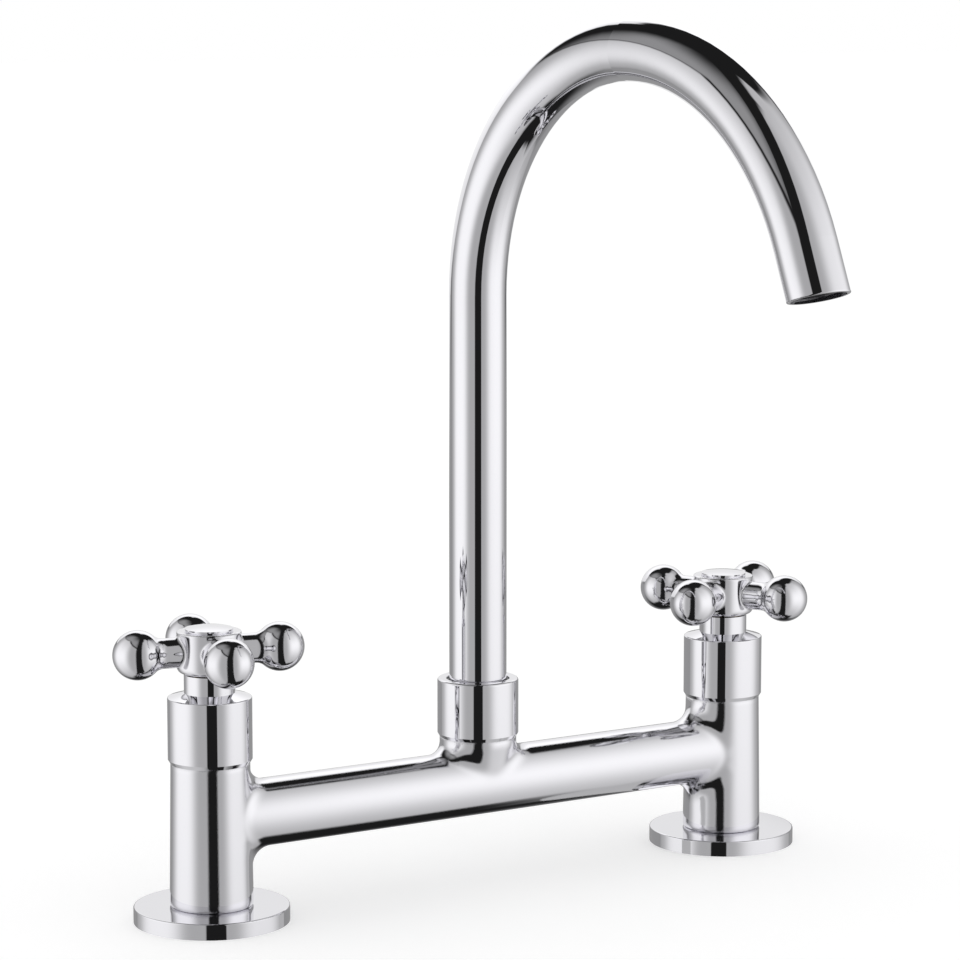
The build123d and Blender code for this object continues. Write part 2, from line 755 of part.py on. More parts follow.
def spout_ferrule():
    """Turned foot of the spout: sealed nose, flange under the collar, spigot up into the tube."""
    top = spout_foot_z + ferrule_spigot_length
    body = rod(ferrule_radius, ferrule_z, ferrule_flange_z)
    body = body + rod(boss_spigot_radius - end_clearance, ferrule_flange_z, spout_foot_z)
    body = body + rod(spout_bore_radius - thread_clearance, spout_foot_z, top)
    body = body - rod(ferrule_bore_radius, ferrule_z, top)
    for seal_z in ferrule_seal_zs:
        body = body - seal_groove(seal_z, ferrule_groove_floor, ferrule_radius)
    return body


def spout_o_rings():
    """The two seals on the ferrule's nose."""
    return seal_pair(ferrule_seal_zs, ferrule_groove_floor, socket_radius)


def spout_glide_ring():
    """Plastic ring that keeps the spout down and turning: its lip shows in the collar's mouth."""
    foot = ring(glide_bore_radius, collar_bore_radius - slip_clearance, glide_ring_z, glide_ring_top_z)
    return foot + ring(glide_bore_radius, glide_lip_radius, glide_ring_top_z, collar_top_z - glide_lip_drop)


def spout_collar():
    """Cover collar screwed on the boss's spigot, with a roof that closes round the tube."""
    cover = turned(
        (collar_mouth_radius, boss_shoulder_z),
        (boss_radius, boss_shoulder_z),
        (collar_radius, boss_shoulder_z + collar_foot_chamfer_height),
        (collar_radius, collar_top_z),
        (collar_mouth_radius, collar_top_z),
    )
    cover = fillet(rim(cover, collar_radius, collar_top_z), collar_top_round)
    cover = fillet(rim(cover, collar_mouth_radius, collar_top_z), collar_mouth_round)
    return cover - rod(collar_bore_radius, boss_shoulder_z, glide_ring_top_z)


def aerator_insert():
    """Flow straightener set back in the spout's mouth: a short tube with a holed plate at its inner end."""
    plate_bottom = -aerator_setback - aerator_length
    plate_top = plate_bottom + aerator_plate
    body = ring(aerator_radius - aerator_wall, aerator_radius, plate_bottom, -aerator_setback)
    body = body + rod(aerator_radius, plate_bottom, plate_top)
    hole = rod(aerator_hole_radius, plate_bottom, plate_top)
    body = body - hole
    for number in range(1, aerator_rings + 1):
        count = number * aerator_holes_per_ring
        for index in range(count):
            body = body - Rot(0, 0, index * 360 / count) * Pos(number * aerator_ring_pitch, 0, 0) * hole
    path = spout_path()
    mouth = Plane(origin=path @ 1, z_dir=path % 1)
    return facing(mouth * body)


# ------------------------------------------------------------------ assembly
def valve_pieces(side, opening, handle_angle):
    """Every piece on one leg by node name: opening is 1 for anticlockwise and -1 for clockwise.

    The cartridge stands at the angle where its thread comes to rest, and the handle with it.
    """
    on_leg = {
        "base_flange": base_flange(),
        "flange_gasket": flange_gasket(),
        "inlet_tail": inlet_tail(),
        "tail_o_ring": tail_o_ring(),
        "backing_washer": backing_washer(),
        "clamp_washer": clamp_washer(),
        "back_nut": back_nut(),
        "valve_sleeve": valve_sleeve(),
        "neck_collar": neck_collar(),
    }
    with_handle = {
        "cartridge_body": cartridge_body(opening),
        "cartridge_o_ring": cartridge_o_ring(),
        "seat_seal": seat_seal(),
        "fixed_disc": fixed_disc(),
        "moving_disc": moving_disc(),
        "spindle": spindle(),
        "spindle_o_rings": spindle_o_rings(),
        "stop_ring": stop_ring(),
        "crosshead": crosshead(),
        "handle_screw": handle_screw(),
        "index_cap": index_cap(),
    }
    for name, piece in with_handle.items():
        with_handle[name] = Rot(0, 0, handle_angle) * piece
    return {f"{side}_{name}": piece for name, piece in {**on_leg, **with_handle}.items()}


def faucet():
    """Every piece of the faucet, in place, by node name."""
    pieces = {
        "bridge_body": bridge_body(),
        "spout_collar": spout_collar(),
        "spout_glide_ring": spout_glide_ring(),
        "spout_ferrule": spout_ferrule(),
        "spout_o_rings": spout_o_rings(),
        "spout_tube": spout_tube(),
        "aerator_insert": aerator_insert(),
    }
    half = inlet_centres / 2
    for x, side, opening, angle in (
        (-half, "left", 1, left_handle_angle),
        (half, "right", -1, right_handle_angle),
    ):
        for name, piece in valve_pieces(side, opening, angle).items():
            pieces[name] = Pos(x, 0, 0) * piece
    return pieces


def main():
    """Write one STEP file for each piece."""
    os.makedirs("parts", exist_ok=True)
    for name, piece in faucet().items():
        export_step(piece, f"parts/{name}.step")


main()
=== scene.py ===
"""Bridge kitchen faucet in polished chrome, standing on a white deck inside a photographic light tent."""
import json
import logging
import math
from dataclasses import dataclass, field, fields, replace
from enum import Enum
from typing import Callable

import bpy
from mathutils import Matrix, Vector


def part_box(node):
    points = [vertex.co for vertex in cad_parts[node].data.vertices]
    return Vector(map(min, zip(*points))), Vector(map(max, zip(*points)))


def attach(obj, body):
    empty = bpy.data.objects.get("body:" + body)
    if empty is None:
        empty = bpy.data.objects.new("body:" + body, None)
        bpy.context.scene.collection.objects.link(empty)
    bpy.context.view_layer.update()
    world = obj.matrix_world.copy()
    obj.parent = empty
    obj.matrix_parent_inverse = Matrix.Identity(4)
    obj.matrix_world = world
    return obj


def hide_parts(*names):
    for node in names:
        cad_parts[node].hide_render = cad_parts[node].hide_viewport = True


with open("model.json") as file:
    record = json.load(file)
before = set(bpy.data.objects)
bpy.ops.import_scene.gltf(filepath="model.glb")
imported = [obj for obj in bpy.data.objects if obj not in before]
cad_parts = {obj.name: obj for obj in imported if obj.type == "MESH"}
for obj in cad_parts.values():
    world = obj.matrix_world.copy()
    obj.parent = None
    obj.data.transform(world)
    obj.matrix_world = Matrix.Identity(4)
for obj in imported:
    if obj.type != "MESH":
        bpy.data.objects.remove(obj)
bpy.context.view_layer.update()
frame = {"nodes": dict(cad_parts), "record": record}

MM = 0.001
WHITE = (1.0, 1.0, 1.0, 1.0)
UPWARDS = Vector((0.0, 0.0, 1.0))
QUARTER_TURN = 90.0  # degrees, as the next one
FULL_TURN = 360.0

logging.basicConfig(level=logging.INFO, format="%(message)s")
log = logging.getLogger("bridge_faucet")


class Slot(Enum):
    """The material slots of the record."""

    CHROME = "chrome_plate"
    BRASS = "raw_brass"
    STEEL = "zinc_steel"
    RUBBER = "black_rubber"
    CERAMIC = "disc_ceramic"
    DARK_PLASTIC = "dark_plastic"


class Side(Enum):
    """The faucet's two legs: hot at -X and cold at +X."""

    LEFT = "left"
    RIGHT = "right"


class Body(Enum):
    """The body that the modelled pieces ride on."""

    MIXER = "mixer"


# ---------------------------------------------------------------- node helpers
Value = bpy.types.NodeSocket | float
Place = tuple[int, int]


def new_node(
    tree: bpy.types.NodeTree, kind: str, place: Place, **settings: object
) -> bpy.types.Node:
    """Adds a node to a tree.

    Args:
        tree: the tree that gets the node.
        kind: the node's type name.
        place: where it stands in the editor.
        settings: properties of the node, set by name.

    Returns:
        The new node.
    """
    node = tree.nodes.new(kind)
    node.location = place
    for name, value in settings.items():
        setattr(node, name, value)
    return node


def feed(tree: bpy.types.NodeTree, value: Value, socket: bpy.types.NodeSocket) -> None:
    """Links a socket to an input, or sets the input to a number.

    Args:
        tree: the tree that both are in.
        value: a socket to link or a number to set.
        socket: the input that gets it.
    """
    if isinstance(value, bpy.types.NodeSocket):
        tree.links.new(value, socket)
    else:
        socket.default_value = value


def math_node(
    tree: bpy.types.NodeTree, operation: str, place: Place, *values: Value, clamp: bool = False
) -> bpy.types.NodeSocket:
    """Adds a Math node and feeds its inputs.

    Args:
        tree: the tree that gets the node.
        operation: the node's operation.
        place: where it stands in the editor.
        values: a socket or a number for each input.
        clamp: whether the result stays between 0 and 1.

    Returns:
        The node's output socket.
    """
    node = new_node(tree, "ShaderNodeMath", place, operation=operation, use_clamp=clamp)
    for value, socket in zip(values, node.inputs):
        feed(tree, value, socket)
    return node.outputs[0]


def smooth_step(
    tree: bpy.types.NodeTree, place: Place, value: Value, middle: Value, blur: Value
) -> bpy.types.NodeSocket:
    """Adds a soft edge: 0 well below the middle, 1 well above it.

    Args:
        tree: the tree that gets the nodes.
        place: where they stand in the editor.
        value: what is measured.
        middle: where the edge lies.
        blur: how far it spreads to each side.

    Returns:
        The socket with the edge, from 0 to 1.
    """
    x, y = place
    low = math_node(tree, "SUBTRACT", (x, y), middle, blur)
    high = math_node(tree, "ADD", (x, y - 160), middle, blur)
    node = new_node(tree, "ShaderNodeMapRange", (x + 200, y), interpolation_type="SMOOTHSTEP")
    for name, source in (("Value", value), ("From Min", low), ("From Max", high)):
        feed(tree, source, node.inputs[name])
    return node.outputs["Result"]


def white_glow(
    tree: bpy.types.NodeTree, kind: str, place: Place, strength: Value
) -> bpy.types.NodeSocket:
    """Adds a node that glows white.

    Args:
        tree: the tree that gets the node.
        kind: the node's type name: an Emission node, or a Background node in a world.
        place: where it stands in the editor.
        strength: how strongly it glows.

    Returns:
        The node's output socket.
    """
    glow = new_node(tree, kind, place)
    glow.inputs["Color"].default_value = WHITE
    feed(tree, strength, glow.inputs["Strength"])
    return glow.outputs[0]


def bare_material(name: str) -> bpy.types.Material:
    """Adds a material whose node tree is still empty.

    Args:
        name: the material's name.

    Returns:
        The material.
    """
    made = bpy.data.materials.new(name)
    made.use_nodes = True
    made.node_tree.nodes.clear()
    return made


# ---------------------------------------------------------------- finishes
@dataclass(frozen=True)
class HandledSurface:
    """Shader group for what use leaves on a surface: wiping haze, fine specks and a slight waviness."""

    name: str = "handled_surface"
    haze_detail: float = 4.0
    speck_detail: float = 2.0
    wave_detail: float = 1.0
    haze_power: float = 2.0
    speck_power: float = 6.0

    def group(self) -> bpy.types.NodeTree:
        """Builds the group, or finds it if it is there.

        Returns:
            A group with inputs for scales and outputs Haze and Height.
        """
        if self.name in bpy.data.node_groups:
            return bpy.data.node_groups[self.name]
        tree = bpy.data.node_groups.new(self.name, "ShaderNodeTree")
        face = tree.interface
        for label in ("Haze Scale", "Speck Scale", "Wave Scale"):
            face.new_socket(label, in_out="INPUT", socket_type="NodeSocketFloat")
        for label in ("Haze", "Height"):
            face.new_socket(label, in_out="OUTPUT", socket_type="NodeSocketFloat")
        ins = new_node(tree, "NodeGroupInput", (-900, 0))
        outs = new_node(tree, "NodeGroupOutput", (600, 0))
        place = new_node(tree, "ShaderNodeTexCoord", (-900, 300))
        haze = self._noise(tree, (-600, 300), place, ins.outputs["Haze Scale"], self.haze_detail)
        speck = self._noise(tree, (-600, 0), place, ins.outputs["Speck Scale"], self.speck_detail)
        wave = self._noise(tree, (-600, -300), place, ins.outputs["Wave Scale"], self.wave_detail)
        wiped = math_node(tree, "POWER", (-300, 300), haze, self.haze_power)
        fine = math_node(tree, "POWER", (-300, 0), speck, self.speck_power)
        both = math_node(tree, "ADD", (0, 200), wiped, fine, clamp=True)
        tree.links.new(both, outs.inputs["Haze"])
        tree.links.new(wave, outs.inputs["Height"])
        return tree

    @staticmethod
    def _noise(
        tree: bpy.types.NodeTree,
        place: Place,
        coordinates: bpy.types.Node,
        scale: bpy.types.NodeSocket,
        detail: float,
    ) -> bpy.types.NodeSocket:
        """Adds a noise texture on object coordinates.

        Args:
            tree: the tree that gets the node.
            place: where it stands in the editor.
            coordinates: the Texture Coordinate node.
            scale: the socket that sets its scale.
            detail: how many octaves it has.

        Returns:
            The noise's value socket.
        """
        noise = new_node(tree, "ShaderNodeTexNoise", place)
        noise.inputs["Detail"].default_value = detail
        tree.links.new(coordinates.outputs["Object"], noise.inputs["Vector"])
        tree.links.new(scale, noise.inputs["Scale"])
        return noise.outputs[0]


@dataclass(frozen=True)
class Finish:
    """One finish: a colour that varies a little, a roughness range and a faint relief.

    With a soft edge, light blends over the piece's edges as over a polished casting's.
    """

    slot: Slot
    colour: tuple[float, float, float]
    worn_colour: tuple[float, float, float]
    metallic: float
    smooth: float
    rough: float
    haze_scale: float
    speck_scale: float
    wave_scale: float
    relief: float
    relief_depth: float
    variant: str = "finish"
    soft_edge: float = 0.0
    soft_edge_samples: int = 12

    def material(self) -> bpy.types.Material:
        """Builds the material, or finds it if it is there.

        Returns:
            The finished material.
        """
        name = f"{self.slot.value}_{self.variant}"
        if name in bpy.data.materials:
            return bpy.data.materials[name]
        made = bpy.data.materials.new(name)
        made.use_nodes = True
        tree = made.node_tree
        shader = tree.nodes["Principled BSDF"]
        shader.inputs["Metallic"].default_value = self.metallic
        handled = new_node(tree, "ShaderNodeGroup", (-900, 0))
        handled.node_tree = HandledSurface().group()
        handled.inputs["Haze Scale"].default_value = self.haze_scale
        handled.inputs["Speck Scale"].default_value = self.speck_scale
        handled.inputs["Wave Scale"].default_value = self.wave_scale
        blend = new_node(tree, "ShaderNodeMix", (-500, 250), data_type="RGBA")
        blend.inputs["A"].default_value = (*self.colour, 1.0)
        blend.inputs["B"].default_value = (*self.worn_colour, 1.0)
        haze = handled.outputs["Haze"]
        tree.links.new(haze, blend.inputs["Factor"])
        tree.links.new(blend.outputs["Result"], shader.inputs["Base Color"])
        span = math_node(tree, "MULTIPLY", (-600, -50), haze, self.rough - self.smooth)
        rough = math_node(tree, "ADD", (-400, -50), span, self.smooth)
        tree.links.new(rough, shader.inputs["Roughness"])
        bump = new_node(tree, "ShaderNodeBump", (-400, -300))
        bump.inputs["Strength"].default_value = self.relief
        bump.inputs["Distance"].default_value = self.relief_depth
        tree.links.new(handled.outputs["Height"], bump.inputs["Height"])
        tree.links.new(bump.outputs["Normal"], shader.inputs["Normal"])
        if self.soft_edge:
            rounded = new_node(
                tree, "ShaderNodeBevel", (-650, -500), samples=self.soft_edge_samples
            )
            rounded.inputs["Radius"].default_value = self.soft_edge
            tree.links.new(rounded.outputs["Normal"], bump.inputs["Normal"])
        return made


FINISHES = {
    Slot.CHROME: Finish(
        Slot.CHROME,
        colour=(0.835, 0.83, 0.86),
        worn_colour=(0.8, 0.795, 0.825),
        metallic=1.0,
        smooth=0.012,
        rough=0.06,
        haze_scale=18.0,
        speck_scale=700.0,
        wave_scale=45.0,
        relief=0.02,
        relief_depth=0.0002,
    ),
    Slot.BRASS: Finish(
        Slot.BRASS,
        colour=(0.83, 0.62, 0.3),
        worn_colour=(0.58, 0.4, 0.18),
        metallic=1.0,
        smooth=0.2,
        rough=0.45,
        haze_scale=60.0,
        speck_scale=900.0,
        wave_scale=400.0,
        relief=0.1,
        relief_depth=0.0003,
    ),
    Slot.STEEL: Finish(
        Slot.STEEL,
        colour=(0.66, 0.67, 0.7),
        worn_colour=(0.48, 0.48, 0.46),
        metallic=1.0,
        smooth=0.25,
        rough=0.5,
        haze_scale=80.0,
        speck_scale=1200.0,
        wave_scale=500.0,
        relief=0.1,
        relief_depth=0.0002,
    ),
    Slot.RUBBER: Finish(
        Slot.RUBBER,
        colour=(0.02, 0.02, 0.022),
        worn_colour=(0.06, 0.06, 0.06),
        metallic=0.0,
        smooth=0.55,
        rough=0.85,
        haze_scale=90.0,
        speck_scale=1500.0,
        wave_scale=700.0,
        relief=0.25,
        relief_depth=0.0003,
    ),
    Slot.CERAMIC: Finish(
        Slot.CERAMIC,
        colour=(0.9, 0.89, 0.86),
        worn_colour=(0.83, 0.81, 0.76),
        metallic=0.0,
        smooth=0.12,
        rough=0.3,
        haze_scale=70.0,
        speck_scale=1000.0,
        wave_scale=300.0,
        relief=0.05,
        relief_depth=0.0001,
    ),
    Slot.DARK_PLASTIC: Finish(
        Slot.DARK_PLASTIC,
        colour=(0.035, 0.035, 0.04),
        worn_colour=(0.075, 0.075, 0.08),
        metallic=0.0,
        smooth=0.35,
        rough=0.6,
        haze_scale=90.0,
        speck_scale=1500.0,
        wave_scale=500.0,
        relief=0.1,
        relief_depth=0.0002,
    ),
}

CAST_CHROME = replace(FINISHES[Slot.CHROME], variant="cast_finish", soft_edge=2.5 * MM)
FORGED_CHROME = replace(FINISHES[Slot.CHROME], variant="forged_finish", soft_edge=1.2 * MM)
# Brass darkened partly as water staining and partly as painted shade, so the narrow gap round the
# cartridge reads dark instead of showing a bright brass line.
STAIN_AND_GAP_SHADE_BRASS = replace(
    FINISHES[Slot.BRASS],
    variant="water_stained_finish",
    colour=(0.3, 0.24, 0.16),
    worn_colour=(0.17, 0.14, 0.1),
    smooth=0.45,
    rough=0.7,
)


# ---------------------------------------------------------------- modelling helpers
MERGE_DISTANCE = 1e-6
SHARP_EDGE = math.radians(25.0)
BROKEN_EDGE_SEGMENTS = 2
SMOOTH_EDGE = math.radians(30.0)


def deselect_all() -> None:
    """Leaves nothing selected, so that the next operator acts on its own piece only."""
    if bpy.context.object and bpy.context.object.mode != "OBJECT":
        bpy.ops.object.mode_set(mode="OBJECT")
    bpy.ops.object.select_all(action="DESELECT")


def edit_only(piece: bpy.types.Object) -> None:
    """Enters edit mode on one piece with nothing in it selected.

    Args:
        piece: the piece to edit.
    """
    deselect_all()
    piece.select_set(True)
    bpy.context.view_layer.objects.active = piece
    bpy.ops.object.mode_set(mode="EDIT")
    bpy.ops.mesh.select_all(action="DESELECT")


def apply_modifiers(piece: bpy.types.Object) -> None:
    """Applies every modifier of a piece, in order.

    Args:
        piece: the piece with its modifiers.
    """
    deselect_all()
    piece.select_set(True)
    bpy.context.view_layer.objects.active = piece
    for modifier in list(piece.modifiers):
        bpy.ops.object.modifier_apply(modifier=modifier.name)


def turned_piece(
    name: str, outline: tuple[tuple[float, float], ...], segments: int, edge_bevel: float
) -> bpy.types.Object:
    """Turns a closed ring-shaped piece about the Z axis, from circle to circle along its outline.

    Args:
        name: the piece's name.
        outline: (radius, height) of each circle in metres, anticlockwise with the radius to the right.
        segments: how many sides the circles have.
        edge_bevel: how wide its edges are broken.

    Returns:
        The piece.
    """
    deselect_all()
    (first_radius, first_height), *others = outline
    bpy.ops.mesh.primitive_circle_add(
        vertices=segments, radius=first_radius, location=(0.0, 0.0, first_height)
    )
    piece = bpy.context.object
    piece.name = name
    bpy.ops.object.transform_apply(location=True, rotation=True, scale=True)
    bpy.ops.object.mode_set(mode="EDIT")
    bpy.ops.mesh.select_all(action="SELECT")
    radius, height = first_radius, first_height
    for next_radius, next_height in (*others, outline[0]):
        lift = (0.0, 0.0, next_height - height)
        bpy.ops.mesh.extrude_region_move(TRANSFORM_OT_translate={"value": lift})
        share = next_radius / radius
        bpy.ops.transform.resize(value=(share, share, 1.0), center_override=(0.0, 0.0, next_height))
        radius, height = next_radius, next_height
    bpy.ops.mesh.select_all(action="SELECT")
    bpy.ops.mesh.remove_doubles(threshold=MERGE_DISTANCE)
    bpy.ops.mesh.normals_make_consistent(inside=False)
    bpy.ops.object.mode_set(mode="OBJECT")
    if edge_bevel:
        bevel = piece.modifiers.new("broken_edges", "BEVEL")
        bevel.width = edge_bevel
        bevel.segments = BROKEN_EDGE_SEGMENTS
        bevel.limit_method = "ANGLE"
        bevel.angle_limit = SHARP_EDGE
        apply_modifiers(piece)
    return piece


@dataclass(frozen=True)
class PipeThread:
    """Half-inch pipe thread: a ridge wound round a core, its ends run out into the core."""

    crest_radius: float = 10.46 * MM
    root_radius: float = 9.32 * MM
    pitch: float = 1.814 * MM
    crest_share: float = 0.14
    root_share: float = 0.86
    sunk: float = 0.12 * MM
    steps: int = 56
    run_out_steps: int = 9

    def ridge(self, name: str, start: float, turns: int) -> bpy.types.Object:
        """Winds the ridge about the Z axis.

        Args:
            name: the piece's name.
            start: height of the middle of the ridge where it begins.
            turns: how many times it goes round.

        Returns:
            The ridge, as one closed mesh.
        """
        deselect_all()
        inner = self.root_radius - self.sunk
        width = self.crest_radius - inner
        bpy.ops.mesh.primitive_plane_add(
            size=1.0,
            location=(inner + width / 2, 0.0, start),
            rotation=(math.radians(QUARTER_TURN), 0.0, 0.0),
        )
        ridge = bpy.context.object
        ridge.name = name
        ridge.scale = (width, self.pitch * self.root_share, 1.0)
        bpy.ops.object.transform_apply(location=True, rotation=True, scale=True)
        edit_only(ridge)
        self._select(ridge, lambda spot: spot.x > self.crest_radius - width / 4)
        share = self.crest_share / self.root_share
        crest_middle = (self.crest_radius, 0.0, start)
        bpy.ops.transform.resize(value=(1.0, 1.0, share), center_override=crest_middle)
        bpy.ops.mesh.select_all(action="SELECT")
        bpy.ops.mesh.delete(type="ONLY_FACE")
        bpy.ops.object.mode_set(mode="OBJECT")
        winding = ridge.modifiers.new("winding", "SCREW")
        winding.axis = "Z"
        winding.angle = math.radians(FULL_TURN)
        winding.screw_offset = self.pitch
        winding.iterations = turns
        winding.steps = self.steps
        winding.render_steps = self.steps
        apply_modifiers(ridge)
        self._run_out(ridge, start, turns)
        return ridge

    def _run_out(self, ridge: bpy.types.Object, start: float, turns: int) -> None:
        """Sinks the first and last few sections into the core and closes both ends.

        Args:
            ridge: the wound ridge.
            start: height of its middle where it begins.
            turns: how many times it goes round.
        """
        edit_only(ridge)
        for step in range(self.run_out_steps):
            share = step / self.run_out_steps
            crest = self.root_radius + (self.crest_radius - self.root_radius) * share
            for number in (step, turns * self.steps - step):
                angle = 2 * math.pi * number / self.steps
                spot = Vector((math.cos(angle), math.sin(angle), 0.0))
                middle = start + self.pitch * number / self.steps
                bpy.ops.mesh.select_all(action="DESELECT")
                self._select(ridge, lambda co: self._on_crest(co, spot, middle))
                shrink = (crest - self.sunk / 2) / self.crest_radius
                axis_spot = (0.0, 0.0, middle)
                bpy.ops.transform.resize(value=(shrink, shrink, 1.0), center_override=axis_spot)
        bpy.ops.mesh.select_all(action="SELECT")
        bpy.ops.mesh.fill_holes(sides=4)
        bpy.ops.mesh.normals_make_consistent(inside=False)
        bpy.ops.object.mode_set(mode="OBJECT")

    def _on_crest(self, spot: Vector, direction: Vector, middle: float) -> bool:
        """Tells whether a corner lies on the crest of the section in a direction.

        Args:
            spot: the corner's place.
            direction: the level direction of the section, of length one.
            middle: height of the section's middle.

        Returns:
            Whether it does.
        """
        flat = Vector((spot.x, spot.y, 0.0))
        outside = flat.length > (self.root_radius + self.crest_radius) / 2
        level = abs(spot.z - middle) < self.pitch / 3
        return outside and level and flat.normalized().dot(direction) > math.cos(math.pi / self.steps)

    @staticmethod
    def _select(piece: bpy.types.Object, wanted: Callable[[Vector], bool]) -> None:
        """Selects the corners of a piece that a test accepts, and leaves it in edit mode.

        Args:
            piece: the piece, in edit mode.
            wanted: the test of a corner's place.
        """
        bpy.ops.object.mode_set(mode="OBJECT")
        for corner in piece.data.vertices:
            corner.select = wanted(corner.co)
        for group in (piece.data.edges, piece.data.polygons):
            for part in group:
                part.select = all(piece.data.vertices[index].select for index in part.vertices)
        bpy.ops.object.mode_set(mode="EDIT")


# ---------------------------------------------------------------- the faucet's sub-assemblies
@dataclass
class SubAssembly:
    """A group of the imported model's nodes, which keep their shape, and the pieces modelled for it."""

    title: str
    nodes: tuple[str, ...]
    slots: dict[str, Slot] = field(
        default_factory=lambda: {
            entry["node"]: Slot(entry["material_slot"]) for entry in frame["record"]["subparts"]
        }
    )
    modelled: dict[str, Slot] = field(default_factory=dict)
    variants: dict[str, Finish] = field(default_factory=dict)

    def build(self) -> None:
        """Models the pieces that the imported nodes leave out: none here."""

    def dress(self) -> tuple[str, ...]:
        """Gives every node its finish and every modelled piece the finish of its slot.

        Returns:
            The names of the pieces.
        """
        for name in self.nodes:
            node = frame["nodes"][name]
            node.data.materials.clear()
            finish = self.variants.get(name, FINISHES[self.slots[name]])
            node.data.materials.append(finish.material())
        for name, slot in self.modelled.items():
            piece = bpy.data.objects[name]
            piece.data.materials.clear()
            piece.data.materials.append(FINISHES[slot].material())
        return (*self.nodes, *self.modelled)


@dataclass
class Bridge(SubAssembly):
    """The cast body with its two legs, cross tube and boss, and the collar that closes round the spout."""

    title: str = "bridge"
    nodes: tuple[str, ...] = ("bridge_body", "spout_collar", "spout_glide_ring")
    variants: dict[str, Finish] = field(default_factory=lambda: {"bridge_body": CAST_CHROME})


@dataclass
class SwanNeck(SubAssembly):
    """The spout that swings on the boss: tube, sealed foot and the insert in its mouth."""

    title: str = "swan neck"
    nodes: tuple[str, ...] = ("spout_tube", "spout_ferrule", "spout_o_rings", "aerator_insert")


@dataclass
class LegAssembly(SubAssembly):
    """A sub-assembly that each leg has; its nodes are listed without the side in front."""

    side: Side = Side.LEFT

    def __post_init__(self) -> None:
        """Puts the side in front of the title and of each node's name."""
        self.title = f"{self.side.value} {self.title}"
        self.nodes = tuple(self.sided(name) for name in self.nodes)
        self.variants = {self.sided(name): finish for name, finish in self.variants.items()}

    def sided(self, name: str) -> str:
        """Puts the side in front of a name."""
        return f"{self.side.value}_{name}"


@dataclass
class Valve(LegAssembly):
    """The ceramic-disc cartridge in one leg, under its sleeve and neck collar."""

    title: str = "valve"
    nodes: tuple[str, ...] = (
        "valve_sleeve",
        "neck_collar",
        "cartridge_body",
        "cartridge_o_ring",
        "seat_seal",
        "fixed_disc",
        "moving_disc",
        "spindle",
        "spindle_o_rings",
        "stop_ring",
    )
    # The cartridge body and spindle share the brass darkened partly by staining and partly by painted
    # shade in the gap round them.
    variants: dict[str, Finish] = field(
        default_factory=lambda: {"cartridge_body": STAIN_AND_GAP_SHADE_BRASS, "spindle": STAIN_AND_GAP_SHADE_BRASS}
    )


@dataclass
class CrossHandle(LegAssembly):
    """The ball-ended cross handle on one spindle, with its screw and cap."""

    title: str = "cross handle"
    nodes: tuple[str, ...] = ("crosshead", "handle_screw", "index_cap")
    variants: dict[str, Finish] = field(default_factory=lambda: {"crosshead": FORGED_CHROME})


